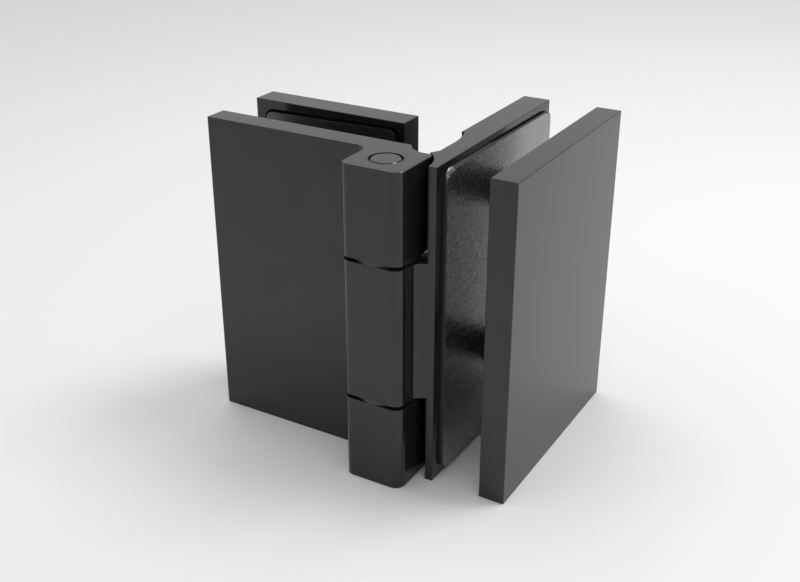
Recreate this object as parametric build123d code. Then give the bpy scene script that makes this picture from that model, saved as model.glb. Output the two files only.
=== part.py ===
from build123d import *
import os

# Knuckle hinge that clamps two sheets of glass and stands here open at a right angle.
# The origin lies on the pin axis in the plane of the lower ends of all plates.
# The fixed leaf runs along -X, the swinging leaf along +Y, and the pin along +Z.

# Plates
plate_height = 90.0
front_thickness = 7.0
back_thickness = 8.0
inner_thickness = 8.0
outer_thickness = 7.3
edge_break = 0.15

# Glass and its lining
glass = 12.0
fixed_lining = 1.3
swing_lining = 1.05
fixed_gap = glass + 2 * fixed_lining
swing_gap = glass + 2 * swing_lining
gasket_edge = 1.7
gasket_corner = 2.5
fixed_gasket_far = 3.0
fixed_gasket_near = 1.4
swing_gasket_far = 1.2
swing_gasket_near = 3.9

# Fixed leaf, front plate with its knuckles
front_end = -59.85
front_face = 5.35
front_glass_face = front_face + front_thickness
front_heel = 0.1

# Fixed leaf, back clamp plate
back_end = -59.4
back_near_end = -10.5
back_glass_face = front_glass_face + fixed_gap
back_face = back_glass_face + back_thickness

# Swinging leaf, inner plate with its knuckle
swing_face = 6.0
swing_glass_face = swing_face + inner_thickness
swing_near_end = 0.15
swing_end = 67.4

# Swinging leaf, outer clamp plate
outer_glass_face = swing_glass_face + swing_gap
outer_face = outer_glass_face + outer_thickness

# Relief in the inner plate that lets the back plate's end swing in
relief_face = 8.6
relief_step = 28.5
relief_step_depth = 0.8
relief_bend = 20.0
relief_bow_inset = 0.45
relief_bow_run = 4.4
relief_foot = 12.0
tip = (7.26, 9.54)
tip_run_out = (6.6, 8.4)
relief_heel = (8.2, 11.2)

# Knuckles
knuckle_left = -8.6
knuckle_right = 8.7
knuckle_front = -8.3
knuckle_back = 8.4
front_right_radius = 3.0
front_left_radius = 2.4
back_radius = 1.5
root_radius = 3.0
heel_start = 5.3
heel_mid = (2.1, 9.83)
arm_radius = 4.0
knuckle_gap = 1.1
knuckle_end = 24.5
middle_low = knuckle_end + knuckle_gap
middle_high = plate_height - middle_low
upper_low = plate_height - knuckle_end

# Clearance turned about the pin
swing_clearance = 11.75
fixed_clearance = 12.2
front_middle_end = -5.0

# Pin, bushes and thrust washers
pin_radius = 4.0
pin_chamfer = 0.3
pin_bore_clearance = 0.02
groove_width = 0.5
groove_depth = 0.8
running_clearance = 0.05
bush_wall = 1.2
bush_space = 7.0
bush_length = (middle_high - middle_low - bush_space) / 2
washer_radius = -knuckle_front
thrust_clearance = 0.05

# Set screws that hold the pin in the outer knuckles
set_radius = 2.0
set_tip_clearance = 0.01
set_recess = 0.6
set_length = -knuckle_left - set_recess - pin_radius - set_tip_clearance
set_chamfer = 0.35
set_socket = 2.0
set_socket_depth = 1.8
thread_clearance = 0.03

# Clamp screws and the sleeves that keep them off the glass
screw_radius = 3.0
screw_hole_clearance = 0.3
screw_reach = 5.0
head_radius = 5.0
head_height = 4.0
head_clearance = 0.5
head_recess = 0.3
socket_across = 4.0
socket_depth = 2.4
tap_run_out = 0.8
sleeve_radius = 5.0
sleeve_bore_clearance = 0.08
sleeve_end_clearance = 0.05
gasket_hole_clearance = 0.3
clamp_distance = 45.0
clamp_spacing = 50.0
clamp_levels = [plate_height / 2 - clamp_spacing / 2, plate_height / 2 + clamp_spacing / 2]


def slab(x0, x1, y0, y1, z0, z1):
    centre = Pos((x0 + x1) / 2, (y0 + y1) / 2, (z0 + z1) / 2)
    return centre * Box(x1 - x0, y1 - y0, z1 - z0)


def upright(radius, z0, z1):
    return Pos(0, 0, (z0 + z1) / 2) * Cylinder(radius, z1 - z0)


def prism(outline, z0, z1):
    face = make_face(outline)
    return extrude(Pos(0, 0, z0) * face, z1 - z0)


def along_y(x, y, z, body):
    # The body's own +Z is laid along +Y
    return Pos(x, y, z) * Rot(-90, 0, 0) * body


def along_x(x, y, z, body):
    # The body's own +Z is laid along +X
    return Pos(x, y, z) * Rot(0, 90, 0) * body


def plain_plate(x0, x1, y0, y1):
    plate = slab(x0, x1, y0, y1, 0, plate_height)
    return chamfer(plate.edges(), edge_break)


def corner_arc(centre_x, centre_y, radius, start):
    return CenterArc((centre_x, centre_y), radius, start, 90)


def outer_knuckle_outline():
    # Square knuckle with the root against the front face and the heel up to the glass side
    root_x = knuckle_left - root_radius
    root_y = front_face - root_radius
    left = knuckle_left + front_left_radius
    low = knuckle_front + front_left_radius
    right = knuckle_right - front_right_radius
    low_right = knuckle_front + front_right_radius
    back_x = knuckle_right - back_radius
    back_y = knuckle_back - back_radius
    heel_foot = (heel_start, knuckle_back)
    heel_top = (front_heel, front_glass_face)
    return [
        Line((root_x, front_glass_face), (root_x, front_face)),
        corner_arc(root_x, root_y, root_radius, 0),
        Line((knuckle_left, root_y), (knuckle_left, low)),
        corner_arc(left, low, front_left_radius, 180),
        Line((left, knuckle_front), (right, knuckle_front)),
        corner_arc(right, low_right, front_right_radius, 270),
        Line((knuckle_right, low_right), (knuckle_right, back_y)),
        corner_arc(back_x, back_y, back_radius, 0),
        Line((back_x, knuckle_back), heel_foot),
        ThreePointArc(heel_foot, heel_mid, heel_top),
        Line(heel_top, (root_x, front_glass_face)),
    ]


def middle_knuckle_outline():
    # Square knuckle that runs into the near end of the inner plate
    left = knuckle_left + front_left_radius
    low = knuckle_front + front_left_radius
    right = knuckle_right - front_right_radius
    low_right = knuckle_front + front_right_radius
    back_x = knuckle_left + back_radius
    back_y = knuckle_back - back_radius
    arm_x = knuckle_right + arm_radius
    arm_y = swing_near_end - arm_radius
    inside = (arm_x, relief_foot)
    return [
        corner_arc(arm_x, arm_y, arm_radius, 90),
        Line((knuckle_right, arm_y), (knuckle_right, low_right)),
        corner_arc(right, low_right, front_right_radius, 270),
        Line((right, knuckle_front), (left, knuckle_front)),
        corner_arc(left, low, front_left_radius, 180),
        Line((knuckle_left, low), (knuckle_left, back_y)),
        corner_arc(back_x, back_y, back_radius, 90),
        Line((back_x, knuckle_back), tip_run_out),
        Line(tip_run_out, tip),
        Line(tip, relief_heel),
        Line(relief_heel, inside),
        Line(inside, (arm_x, swing_near_end)),
    ]


def inner_plate_outline():
    step_x = swing_face + relief_step_depth
    bow_mid = (relief_face - relief_bow_inset, relief_step - relief_bow_run)
    return [
        Line((swing_glass_face, swing_near_end), (swing_glass_face, swing_end)),
        Line((swing_glass_face, swing_end), (swing_face, swing_end)),
        Line((swing_face, swing_end), (swing_face, relief_step)),
        Line((swing_face, relief_step), (step_x, relief_step)),
        ThreePointArc((step_x, relief_step), bow_mid, (relief_face, relief_bend)),
        Line((relief_face, relief_bend), (relief_face, relief_foot)),
        Line((relief_face, relief_foot), relief_heel),
        Line(relief_heel, tip),
        Line(tip, tip_run_out),
        Line(tip_run_out, (tip_run_out[0], swing_near_end)),
        Line((tip_run_out[0], swing_near_end), (swing_glass_face, swing_near_end)),
    ]


def pin_bore():
    # One bore through both outer knuckles, with a groove round each end of the pin
    radius = pin_radius + pin_bore_clearance
    mouth = pin_radius + groove_width
    bore = upright(radius, -1, plate_height + 1)
    bore += upright(mouth, -1, groove_depth)
    bore += upright(mouth, plate_height - groove_depth, plate_height + 1)
    return bore


def counterbored_hole(thickness):
    # Drawn with the outer face at Z = 0 and the hole running down -Z
    through = upright(screw_radius + screw_hole_clearance, -thickness - 1, 0)
    seat = upright(head_radius + head_clearance, -head_recess - head_height, 1)
    return through + seat


def clamp_screw(thickness, gap):
    # Low socket head screw with the top of its head at Z = -head_recess
    top = -head_recess
    end = -(thickness + gap + screw_reach)
    screw = upright(head_radius, top - head_height, top)
    screw += upright(screw_radius, end, top - head_height)
    key = extrude(RegularPolygon(socket_across / 2, 6, major_radius=False), socket_depth + 1)
    return screw - Pos(0, 0, top - socket_depth) * key


def tapped_hole():
    # Drawn with the glass side at Z = 0 and the blind hole running down -Z
    depth = screw_reach + tap_run_out
    return Pos(0, 0, -depth / 2) * Cylinder(screw_radius + thread_clearance, depth)


def set_screw():
    # Drawn with its tip at Z = 0 and its socket upwards
    body = upright(set_radius, 0, set_length)
    body = chamfer(body.edges().group_by(Axis.Z)[0], set_chamfer)
    key = extrude(RegularPolygon(set_socket / 2, 6, major_radius=False), set_socket_depth + 1)
    return body - Pos(0, 0, set_length - set_socket_depth) * key


def set_screw_levels():
    return [knuckle_end / 2, plate_height - knuckle_end / 2]


def set_screw_holes():
    holes = []
    reach = -knuckle_left + 1
    for z in set_screw_levels():
        holes.append(along_x(-reach / 2, 0, z, Cylinder(set_radius + thread_clearance, reach)))
    return holes


def front_plate():
    plate = plain_plate(front_end, front_heel, front_face, front_glass_face)
    plate -= slab(front_middle_end, 1, front_face - 1, front_glass_face + 1, knuckle_end, upper_low)
    plate -= upright(fixed_clearance, knuckle_end, upper_low)
    lower = prism(outer_knuckle_outline(), 0, knuckle_end)
    upper = prism(outer_knuckle_outline(), upper_low, plate_height)
    root_middle = knuckle_left - root_radius / 2
    foot_rim = lower.faces().sort_by(Axis.Z)[0].edges()
    top_rim = upper.faces().sort_by(Axis.Z)[-1].edges()
    plate += chamfer([e for e in foot_rim if e.center().X > root_middle], edge_break)
    plate += chamfer([e for e in top_rim if e.center().X > root_middle], edge_break)
    plate -= pin_bore()
    for hole in set_screw_holes():
        plate -= hole
    for z in clamp_levels:
        plate -= along_y(-clamp_distance, front_glass_face, z, tapped_hole())
    return plate


def back_plate():
    plate = plain_plate(back_end, back_near_end, back_glass_face, back_face)
    for z in clamp_levels:
        plate -= along_y(-clamp_distance, back_face, z, counterbored_hole(back_thickness))
    return plate


def swing_plate():
    plate = prism(inner_plate_outline(), 0, plate_height)
    far = [e for e in plate.edges() if e.center().Y > relief_step + 1]
    plate = chamfer(far, edge_break)
    plate -= upright(swing_clearance, -1, middle_low)
    plate -= upright(swing_clearance, middle_high, plate_height + 1)
    plate += prism(middle_knuckle_outline(), middle_low, middle_high)
    plate -= upright(pin_radius + running_clearance + bush_wall, middle_low - 1, middle_high + 1)
    for z in clamp_levels:
        hole = Rot(180, 0, 0) * counterbored_hole(inner_thickness)
        plate -= along_x(swing_face, clamp_distance, z, hole)
    return plate


def outer_plate():
    plate = plain_plate(outer_glass_face, outer_face, swing_near_end, swing_end)
    for z in clamp_levels:
        plate -= along_x(outer_glass_face, clamp_distance, z, Rot(180, 0, 0) * tapped_hole())
    return plate


def hinge_pin():
    body = upright(pin_radius, 0, plate_height)
    return chamfer(body.edges().filter_by(GeomType.CIRCLE), pin_chamfer)


def bush(z0):
    inner = pin_radius + running_clearance
    return upright(inner + bush_wall, z0, z0 + bush_length) - upright(inner, z0 - 1, z0 + bush_length + 1)


def washer(z0):
    thickness = knuckle_gap - thrust_clearance
    inner = pin_radius + 2 * running_clearance
    return upright(washer_radius, z0, z0 + thickness) - upright(inner, z0 - 1, z0 + thickness + 1)


def set_screws():
    screws = []
    for z in set_screw_levels():
        tip_x = -pin_radius - set_tip_clearance
        screws.append(along_x(tip_x, 0, z, Rot(180, 0, 0) * set_screw()))
    return Compound(children=screws)


def gasket(length, thickness):
    # Flat lining drawn in XY with its thickness along +Z and its low corner at the origin
    height = plate_height - 2 * gasket_edge
    sheet = Pos(length / 2, height / 2, 0) * RectangleRounded(length, height, gasket_corner)
    return extrude(sheet, thickness)


def gasket_hole(thickness):
    return upright(screw_radius + gasket_hole_clearance, -1, thickness + 1)


def fixed_gasket(y0):
    x0 = back_end + fixed_gasket_far
    length = back_near_end - fixed_gasket_near - x0
    sheet = Pos(x0, y0 + fixed_lining, gasket_edge) * Rot(90, 0, 0) * gasket(length, fixed_lining)
    for z in clamp_levels:
        sheet -= along_y(-clamp_distance, y0, z, gasket_hole(fixed_lining))
    return sheet


def swing_gasket(x0):
    y0 = swing_near_end + swing_gasket_near
    length = swing_end - swing_gasket_far - y0
    sheet = Rot(0, 0, 90) * Rot(90, 0, 0) * gasket(length, swing_lining)
    sheet = Pos(x0, y0, gasket_edge) * sheet
    for z in clamp_levels:
        sheet -= along_x(x0, clamp_distance, z, gasket_hole(swing_lining))
    return sheet


def sleeve():
    # Tube centred on the origin
    length = glass - 2 * sleeve_end_clearance
    bore = screw_radius + sleeve_bore_clearance
    return Cylinder(sleeve_radius, length) - Cylinder(bore, length + 2)


def fixed_sleeve(z):
    middle = (front_glass_face + back_glass_face) / 2
    return along_y(-clamp_distance, middle, z, sleeve())


def swing_sleeve(z):
    middle = (swing_glass_face + outer_glass_face) / 2
    return along_x(middle, clamp_distance, z, sleeve())


def fixed_clamp_screws():
    screw = clamp_screw(back_thickness, fixed_gap)
    screws = [along_y(-clamp_distance, back_face, z, screw) for z in clamp_levels]
    return Compound(children=screws)


def swing_clamp_screws():
    screw = Rot(180, 0, 0) * clamp_screw(inner_thickness, swing_gap)
    screws = [along_x(swing_face, clamp_distance, z, screw) for z in clamp_levels]
    return Compound(children=screws)


parts = {
    "front_plate": front_plate(),
    "back_plate": back_plate(),
    "front_gasket": fixed_gasket(front_glass_face),
    "back_gasket": fixed_gasket(back_glass_face - fixed_lining),
    "fixed_lower_sleeve": fixed_sleeve(clamp_levels[0]),
    "fixed_upper_sleeve": fixed_sleeve(clamp_levels[1]),
    "fixed_clamp_screws": fixed_clamp_screws(),
    "hinge_pin": hinge_pin(),
    "set_screws": set_screws(),
    "swing_plate": swing_plate(),
    "outer_plate": outer_plate(),
    "swing_gasket": swing_gasket(swing_glass_face),
    "outer_gasket": swing_gasket(outer_glass_face - swing_lining),
    "swing_lower_sleeve": swing_sleeve(clamp_levels[0]),
    "swing_upper_sleeve": swing_sleeve(clamp_levels[1]),
    "swing_clamp_screws": swing_clamp_screws(),
    "lower_bush": bush(middle_low),
    "upper_bush": bush(middle_high - bush_length),
    "lower_washer": washer(middle_low - knuckle_gap + thrust_clearance),
    "upper_washer": washer(middle_high),
}

os.makedirs("parts", exist_ok=True)
for name, part in parts.items():
    export_step(part, "parts/" + name + ".step")
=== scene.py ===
import math

import bmesh
import bpy
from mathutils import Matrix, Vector


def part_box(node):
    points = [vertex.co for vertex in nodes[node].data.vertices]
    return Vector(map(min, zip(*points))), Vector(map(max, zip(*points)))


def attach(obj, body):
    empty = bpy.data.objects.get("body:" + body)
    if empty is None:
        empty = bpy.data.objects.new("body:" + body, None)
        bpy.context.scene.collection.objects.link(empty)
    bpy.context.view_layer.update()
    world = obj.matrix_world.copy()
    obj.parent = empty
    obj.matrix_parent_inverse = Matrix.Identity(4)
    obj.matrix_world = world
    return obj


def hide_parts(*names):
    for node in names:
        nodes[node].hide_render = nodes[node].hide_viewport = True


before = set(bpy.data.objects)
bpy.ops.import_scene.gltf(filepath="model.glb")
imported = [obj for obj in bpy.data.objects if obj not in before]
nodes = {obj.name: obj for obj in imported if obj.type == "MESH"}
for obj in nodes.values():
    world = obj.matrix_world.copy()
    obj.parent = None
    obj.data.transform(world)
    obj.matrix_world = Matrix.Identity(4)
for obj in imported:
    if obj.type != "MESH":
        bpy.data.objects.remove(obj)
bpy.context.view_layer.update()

MM = 0.001

# Camera, solved from the corners of the plates in the photograph; metres, degrees and millimetres of lens
VIEW_PLACE = (0.133834, -0.222453, 0.178974)
VIEW_TILT = 64.318
VIEW_TURN = 30.278
VIEW_LENS = 50.360
SENSOR_WIDTH = 36.0
CLIP_NEAR = 0.01
CLIP_FAR = 20.0

# Soft distant lamps: compass angle from +X, height above the floor and breadth in degrees, strength
KEY_SUN = (40.0, 57.0, 26.0, 0.98)
FILL_SUN = (150.0, 70.0, 28.0, 0.31)
SKY_STRENGTH = 0.74

# Floor: half its width, and its tone by distance in metres from a point near the object: a painted pool of
# light, brightest near the object and darker away from it
FLOOR_HALF = 6.0
FLOOR_POOL_CENTRE = (0.15, 0.15, 0.0)
FLOOR_POOL_TONES = ((0.0, 0.895), (0.15, 0.89), (0.35, 0.79), (0.6, 0.66), (1.1, 0.502))

# Holes in the gaskets, where the clamp screws pass: from the pin axis, above the foot, and their size
CLAMP_DISTANCE = 45 * MM
CLAMP_ROWS = (20 * MM, 70 * MM)
HOLE_RADIUS = 3.3 * MM
HOLE_SIDES = 32

# Outline of a gasket
CORNER_RADIUS = 2.8 * MM
CORNER_STEPS = 16
RIM_SPACING = 1.0 * MM

# Materials of a gasket's strips, by slot: the pad's skin, its cut side, and its black border,
# which is painted shade for the shadowed gaps round and under the pad
SKIN, SIDE, SHADE = 0, 1, 2


def link(obj):
    bpy.context.scene.collection.objects.link(obj)
    return obj


def make_camera():
    data = bpy.data.cameras.new("view")
    data.sensor_width = SENSOR_WIDTH
    data.sensor_fit = "HORIZONTAL"
    data.lens = VIEW_LENS
    data.clip_start = CLIP_NEAR
    data.clip_end = CLIP_FAR
    camera = link(bpy.data.objects.new("view", data))
    camera.location = VIEW_PLACE
    camera.rotation_euler = (math.radians(VIEW_TILT), 0.0, math.radians(VIEW_TURN))
    bpy.context.scene.camera = camera


def add_sun(name, turn, height, breadth, strength):
    data = bpy.data.lights.new(name, "SUN")
    data.angle = math.radians(breadth)
    data.energy = strength
    lamp = link(bpy.data.objects.new(name, data))
    lamp.rotation_euler = (0.0, math.radians(90.0 - height), math.radians(turn))


def add_world():
    world = bpy.data.worlds.new("studio")
    world.use_nodes = True
    back = world.node_tree.nodes["Background"]
    back.inputs["Color"].default_value = (1.0, 1.0, 1.0, 1.0)
    back.inputs["Strength"].default_value = SKY_STRENGTH
    bpy.context.scene.world = world


def new_material(name):
    material = bpy.data.materials.new(name)
    material.use_nodes = True
    tree = material.node_tree
    return material, tree, tree.nodes["Principled BSDF"]


def noise(tree, scale, detail, offset=(0.0, 0.0, 0.0)):
    place = tree.nodes.new("ShaderNodeTexCoord")
    mapping = tree.nodes.new("ShaderNodeMapping")
    mapping.inputs["Location"].default_value = offset
    texture = tree.nodes.new("ShaderNodeTexNoise")
    texture.inputs["Scale"].default_value = scale
    texture.inputs["Detail"].default_value = detail
    tree.links.new(place.outputs["Object"], mapping.inputs["Vector"])
    tree.links.new(mapping.outputs["Vector"], texture.inputs["Vector"])
    return texture.outputs["Fac"]


def ramp(tree, source, low, high, start=0.3, end=0.7):
    node = tree.nodes.new("ShaderNodeMapRange")
    node.inputs["From Min"].default_value = start
    node.inputs["From Max"].default_value = end
    node.inputs["To Min"].default_value = low
    node.inputs["To Max"].default_value = high
    tree.links.new(source, node.inputs["Value"])
    return node.outputs["Result"]


def vary_colour(tree, shader, source, shade, low, high, start=0.3, end=0.7):
    # Base colour between two multiples of a shade
    node = tree.nodes.new("ShaderNodeValToRGB")
    first, last = node.color_ramp.elements
    first.position = start
    last.position = end
    first.color = (*(part * low for part in shade), 1.0)
    last.color = (*(part * high for part in shade), 1.0)
    tree.links.new(source, node.inputs["Fac"])
    tree.links.new(node.outputs["Color"], shader.inputs["Base Color"])


def vary_roughness(tree, shader, source, middle, spread):
    result = ramp(tree, source, middle - spread, middle + spread)
    tree.links.new(result, shader.inputs["Roughness"])


def bump(tree, source, strength, distance):
    node = tree.nodes.new("ShaderNodeBump")
    node.inputs["Strength"].default_value = strength
    node.inputs["Distance"].default_value = distance
    tree.links.new(source, node.inputs["Height"])
    return node.outputs["Normal"]


def black_coat(name, shade, rough, spread):
    # Smooth satin black coating with a faint mottle in tone, gloss and level
    material, tree, shader = new_material(name)
    cloud = noise(tree, scale=90.0, detail=3.0)
    fine = noise(tree, scale=2600.0, detail=2.0, offset=(0.3, 0.1, 0.7))
    vary_colour(tree, shader, cloud, shade, low=0.85, high=1.15)
    vary_roughness(tree, shader, cloud, rough, spread)
    level = bump(tree, fine, strength=0.02, distance=0.02 * MM)
    tree.links.new(level, shader.inputs["Normal"])
    shader.inputs["IOR"].default_value = 1.5
    return material


def rubber(name, shade, rough, base_ior, coat_ior):
    # Moulded rubber with a glossy skin and a fine grain
    material, tree, shader = new_material(name)
    grain = noise(tree, scale=1900.0, detail=4.0)
    speckle = noise(tree, scale=1700.0, detail=2.0, offset=(0.2, 0.5, 0.1))
    vary_colour(tree, shader, speckle, shade, low=0.6, high=2.1, start=0.42, end=0.6)
    vary_roughness(tree, shader, grain, rough, spread=0.05)
    level = bump(tree, grain, strength=0.5, distance=0.12 * MM)
    tree.links.new(level, shader.inputs["Normal"])
    tree.links.new(level, shader.inputs["Coat Normal"])
    shader.inputs["IOR"].default_value = base_ior
    shader.inputs["Coat Weight"].default_value = 1.0
    shader.inputs["Coat IOR"].default_value = coat_ior
    shader.inputs["Coat Roughness"].default_value = rough
    return material


def plastic(name, shade, rough):
    # Plain moulded plastic with a faint grain
    material, tree, shader = new_material(name)
    grain = noise(tree, scale=900.0, detail=3.0)
    vary_colour(tree, shader, grain, shade, low=0.9, high=1.1)
    vary_roughness(tree, shader, grain, rough, spread=0.06)
    level = bump(tree, grain, strength=0.05, distance=0.03 * MM)
    tree.links.new(level, shader.inputs["Normal"])
    shader.inputs["IOR"].default_value = 1.46
    return material


def painted_shade_black(name, shade):
    # Black border with no reflection and a fine grain: painted shade for the shadowed gaps round and under
    # the pads
    material, tree, shader = new_material(name)
    grain = noise(tree, scale=3000.0, detail=2.0, offset=(0.7, 0.2, 0.4))
    vary_colour(tree, shader, grain, shade, low=0.6, high=1.4)
    level = bump(tree, grain, strength=0.3, distance=0.05 * MM)
    tree.links.new(level, shader.inputs["Normal"])
    shader.inputs["Roughness"].default_value = 0.95
    shader.inputs["Specular IOR Level"].default_value = 0.0
    return material


def floor_material():
    # Pale paper with a painted pool of light: brightest near the object, darker away from it
    material, tree, shader = new_material("floor")
    place = tree.nodes.new("ShaderNodeTexCoord")
    reach = tree.nodes.new("ShaderNodeVectorMath")
    reach.operation = "DISTANCE"
    reach.inputs[1].default_value = FLOOR_POOL_CENTRE
    tree.links.new(place.outputs["Object"], reach.inputs[0])
    farthest = FLOOR_POOL_TONES[-1][0]
    share = ramp(tree, reach.outputs["Value"], 0.0, 1.0, start=0.0, end=farthest)
    tones = tree.nodes.new("ShaderNodeValToRGB")
    stops = tones.color_ramp.elements
    while len(stops) < len(FLOOR_POOL_TONES):
        # Halfway for now: the loop below moves every stop to its place
        stops.new(0.5)
    for stop, (distance, tone) in zip(stops, FLOOR_POOL_TONES):
        stop.position = distance / farthest
        stop.color = (tone, tone, tone, 1.0)
    tree.links.new(share, tones.inputs["Fac"])
    tree.links.new(tones.outputs["Color"], shader.inputs["Base Color"])
    shader.inputs["Roughness"].default_value = 0.9
    shader.inputs["Specular IOR Level"].default_value = 0.0
    return material


def add_floor():
    half = FLOOR_HALF
    data = bpy.data.meshes.new("floor")
    corners = [(-half, -half, 0), (half, -half, 0), (half, half, 0), (-half, half, 0)]
    data.from_pydata(corners, [], [(0, 1, 2, 3)])
    floor = link(bpy.data.objects.new("floor", data))
    data.materials.append(floor_material())


def dress(names, material):
    # Gives a material to all slots of the named CAD pieces
    for name in names:
        obj = nodes[name]
        if not obj.material_slots:
            obj.data.materials.append(material)
        for slot in obj.material_slots:
            slot.material = material


def spread_points(start, end):
    # Points from start up to, but not including, end, about the rim's spacing apart
    count = max(1, round(math.dist(start, end) / RIM_SPACING))
    step_x = (end[0] - start[0]) / count
    step_y = (end[1] - start[1]) / count
    return [(start[0] + step_x * i, start[1] + step_y * i) for i in range(count)]


def gasket_rim(length, height, start_fall, end_fall):
    # Outline points with their outward directions, in the upper half lowered towards either end
    corner = CORNER_RADIUS
    arcs = []
    for centre_x, centre_y, start in (
        (length - corner, height - corner, 0),
        (corner, height - corner, 90),
        (corner, corner, 180),
        (length - corner, corner, 270),
    ):
        for i in range(CORNER_STEPS + 1):
            angle = math.radians(start + 90 * i / CORNER_STEPS)
            x = centre_x + corner * math.cos(angle)
            y = centre_y + corner * math.sin(angle)
            arcs.append((x, y, angle))
    rim = []
    for i, (x, y, angle) in enumerate(arcs):
        after = arcs[(i + 1) % len(arcs)]
        for point_x, point_y in spread_points((x, y), after[:2]):
            fall = end_fall * point_x / length + start_fall * (1 - point_x / length)
            above_middle = max(0.0, point_y / height - 0.5) * 2
            rim.append((point_x, point_y - fall * above_middle, angle))
    return rim


def fixed_section(x, y, size):
    # Section of the rim as (inset, level, finish) from foot to face: a pad with an undercut edge
    # on a thin black border, which is wider near the free end; the border and the undercut wall are
    # painted shade for the gap round the pad
    thickness = size[2]
    edge_break = 0.03 * MM
    border_level = 0.2 * MM
    undercut = 0.5 * MM
    plain_border = 0.42 * MM
    widening = 0.7 * MM
    widening_reach = 3.0 * MM
    border = plain_border + widening * max(0.0, 1 - x / widening_reach)
    return [
        (0.0, 0.0, SHADE),
        (0.0, border_level, SHADE),
        (border + undercut, border_level, SHADE),
        (border, thickness - edge_break, SHADE),
        (border + edge_break, thickness, SKIN),
    ]


def swing_section(x, y, size):
    # Section of the rim as (inset, level, finish) from foot to face: the upper edge slopes to the face,
    # stands off the plate along its far half, and bends back at its near corner
    length, height, thickness = size
    upper_edge = height - 1.6 * MM
    lift_start, lift_end = 26 * MM, length - 3 * MM
    top = y > upper_edge
    lifted = top and lift_start < x < lift_end
    if lifted:
        run, drop, foot_inset = 0.3 * MM, 0.3 * MM, 1.2 * MM
    elif top:
        run, drop, foot_inset = 0.6 * MM, 0.7 * MM, 0.05 * MM
    else:
        run, drop, foot_inset = 0.03 * MM, 0.03 * MM, 0.05 * MM

    bend_centre = (1.5 * MM, height - 0.5 * MM)
    bend_reach = 4.2 * MM
    bend_run = 1.8 * MM
    bend_drop = 0.9 * MM
    bend_crown = 0.03
    bend_skin = 0.25
    nearness = max(0.0, 1 - math.dist((x, y), bend_centre) / bend_reach)
    bend = nearness * nearness * (3 - 2 * nearness)
    run += (bend_run - run) * bend
    drop += (bend_drop - drop) * bend

    # The foot band and, along the lifted stretch, the band above it take the black border: painted shade
    # for the gap under the pad's edge
    lower = SHADE if lifted else SIDE
    upper = SKIN if bend > bend_skin or not top else SIDE
    return [
        (foot_inset, 0.0, SHADE),
        (0.0, 0.5 * (thickness - drop), lower),
        (0.0, thickness - drop, SIDE),
        (0.5 * run, thickness - (0.5 - bend_crown * bend) * drop, upper),
        (run, thickness, upper),
    ]


def edge_strips(mesh, rim, sections):
    # Strips round the edge between the levels of the sections; returns one loop of vertices for each level
    loops = [[] for level in sections[0]]
    for (x, y, angle), section in zip(rim, sections):
        out_x, out_y = math.cos(angle), math.sin(angle)
        for loop, (inset, level, finish) in zip(loops, section):
            loop.append(mesh.verts.new((x - out_x * inset, y - out_y * inset, level)))
    count = len(rim)
    for k in range(len(loops) - 1):
        low, high = loops[k], loops[k + 1]
        for i in range(count):
            j = (i + 1) % count
            face = mesh.faces.new((low[i], low[j], high[j], high[i]))
            face.material_index = sections[i][k + 1][2]
            face.smooth = face.material_index == SKIN
    return loops


def fill_side(mesh, loop, level, holes):
    # Flat side inside a loop of the edge, with a hole for each clamp screw; returns the holes' rings
    rings = []
    count = len(loop)
    edges = [mesh.edges.get((loop[i], loop[(i + 1) % count])) for i in range(count)]
    for centre_x, centre_y in holes:
        ring = []
        for i in range(HOLE_SIDES):
            angle = math.tau * i / HOLE_SIDES
            x = centre_x + HOLE_RADIUS * math.cos(angle)
            y = centre_y + HOLE_RADIUS * math.sin(angle)
            ring.append(mesh.verts.new((x, y, level)))
        edges += [mesh.edges.new((ring[i], ring[(i + 1) % HOLE_SIDES])) for i in range(HOLE_SIDES)]
        rings.append(ring)
    bmesh.ops.triangle_fill(mesh, use_beauty=True, use_dissolve=False, edges=edges)
    return rings


def gasket_piece(name, size, holes, leaf):
    # Flat lining in XY, its seated side at Z = 0 and its face at its thickness
    length, height, thickness = size
    rim = gasket_rim(length, height, leaf["start_fall"], leaf["end_fall"])
    sections = [leaf["section"](x, y, size) for x, y, angle in rim]
    mesh = bmesh.new()
    loops = edge_strips(mesh, rim, sections)
    seated_rings = fill_side(mesh, loops[0], 0.0, holes)
    face_rings = fill_side(mesh, loops[-1], thickness, holes)
    for low, high in zip(seated_rings, face_rings):
        for i in range(HOLE_SIDES):
            j = (i + 1) % HOLE_SIDES
            mesh.faces.new((low[i], high[i], high[j], low[j]))
    bmesh.ops.recalc_face_normals(mesh, faces=mesh.faces)
    data = bpy.data.meshes.new(name)
    mesh.to_mesh(data)
    mesh.free()
    return link(bpy.data.objects.new(name, data))


def place(piece, origin, along, up, out):
    # Bakes the piece's own axes onto the given directions of the frame
    origin, along, up, out = Vector(origin), Vector(along), Vector(up), Vector(out)
    for vertex in piece.data.vertices:
        x, y, z = vertex.co
        vertex.co = origin + along * x + up * y + out * z
    if along.cross(up).dot(out) < 0:
        piece.data.flip_normals()
    piece.data.update()


# How the gaskets of each leaf lie: the axes of their length and thickness, where the screws pass along
# the length, how far the upper edge falls at either end, and the section of the rim
FIXED_LEAF = {
    "body": "fixed_leaf",
    "length_axis": 0,
    "depth_axis": 1,
    "screws_at": -CLAMP_DISTANCE,
    "start_fall": 0.9 * MM,
    "end_fall": 0.0,
    "section": fixed_section,
}
SWING_LEAF = {
    "body": "swing_leaf",
    "length_axis": 1,
    "depth_axis": 0,
    "screws_at": CLAMP_DISTANCE,
    "start_fall": 0.0,
    "end_fall": 0.6 * MM,
    "section": swing_section,
}


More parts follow.
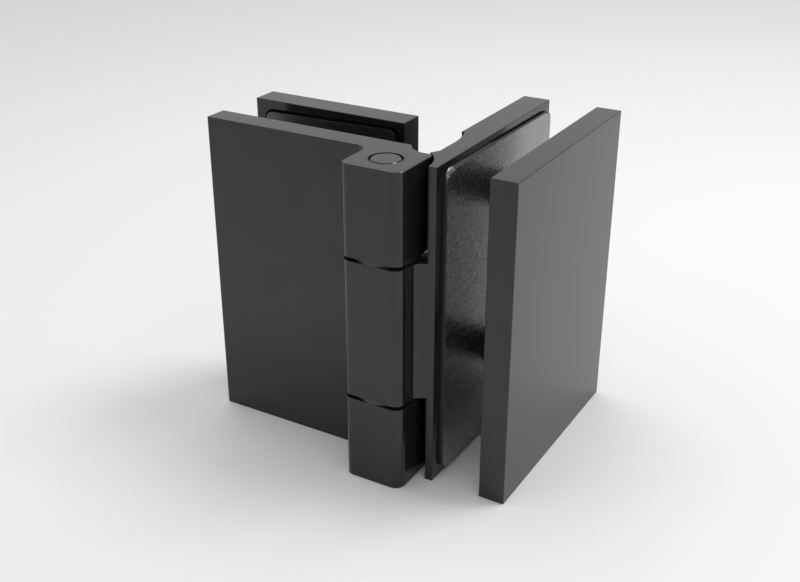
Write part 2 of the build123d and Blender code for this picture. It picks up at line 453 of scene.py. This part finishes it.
def add_gasket(node, leaf, side, materials):
    # Fills the box of the CAD gasket; side is the way its face looks along the depth axis, 1 or -1
    low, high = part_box(node)
    run, depth = leaf["length_axis"], leaf["depth_axis"]
    size = (high[run] - low[run], high[2] - low[2], high[depth] - low[depth])
    holes = [(leaf["screws_at"] - low[run], row - low[2]) for row in CLAMP_ROWS]
    piece = gasket_piece(node + "_soft", size, holes, leaf)
    origin, along, out = list(low), [0, 0, 0], [0, 0, 0]
    origin[depth] = low[depth] if side > 0 else high[depth]
    along[run] = 1
    out[depth] = side
    place(piece, origin, along, (0, 0, 1), out)
    for material in materials:
        piece.data.materials.append(material)
    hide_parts(node)
    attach(piece, leaf["body"])


def dress_solids():
    plate_coat = black_coat("plate_coat", (0.012, 0.012, 0.013), rough=0.14, spread=0.03)
    pin_coat = black_coat("pin_coat", (0.014, 0.014, 0.015), rough=0.16, spread=0.03)
    screw_coat = black_coat("screw_coat", (0.016, 0.016, 0.017), rough=0.28, spread=0.05)
    sleeve_skin = plastic("sleeve_plastic", (0.02, 0.02, 0.021), rough=0.5)
    bearing_skin = plastic("bearing_plastic", (0.03, 0.03, 0.031), rough=0.35)
    dress(["front_plate", "back_plate", "swing_plate", "outer_plate"], plate_coat)
    dress(["hinge_pin"], pin_coat)
    dress(["set_screws", "fixed_clamp_screws", "swing_clamp_screws"], screw_coat)
    dress(["fixed_lower_sleeve", "fixed_upper_sleeve"], sleeve_skin)
    dress(["swing_lower_sleeve", "swing_upper_sleeve"], sleeve_skin)
    dress(["lower_bush", "upper_bush", "lower_washer", "upper_washer"], bearing_skin)


def add_gaskets():
    black = (0.02, 0.02, 0.02)
    # The darker black below, with the lower IORs of the fixed rubber, makes a shaded copy of the same
    # rubber: painted shade on the fixed leaf's pads
    shaded_black = (0.01, 0.01, 0.01)
    swing_skin = rubber("swing_gasket_rubber", black, rough=0.27, base_ior=1.8, coat_ior=1.66)
    outer_skin = rubber("outer_gasket_rubber", black, rough=0.27, base_ior=1.65, coat_ior=1.56)
    fixed_shaded_skin = rubber("fixed_gasket_rubber_painted_shade", shaded_black, rough=0.3, base_ior=1.55, coat_ior=1.5)
    cut_side = plastic("gasket_cut_side", (0.024, 0.024, 0.024), rough=0.6)
    # Black border: painted shade for the gaps round and under the pads
    border = painted_shade_black("gasket_painted_shade", (0.004, 0.004, 0.004))
    for node, leaf, side, skin in (
        ("front_gasket", FIXED_LEAF, 1, fixed_shaded_skin),
        ("back_gasket", FIXED_LEAF, -1, fixed_shaded_skin),
        ("swing_gasket", SWING_LEAF, 1, swing_skin),
        ("outer_gasket", SWING_LEAF, -1, outer_skin),
    ):
        add_gasket(node, leaf, side, (skin, cut_side, border))


bpy.context.scene.view_settings.view_transform = "Standard"
make_camera()
add_world()
add_floor()
add_sun("key", *KEY_SUN)
add_sun("fill", *FILL_SUN)
dress_solids()
add_gaskets()
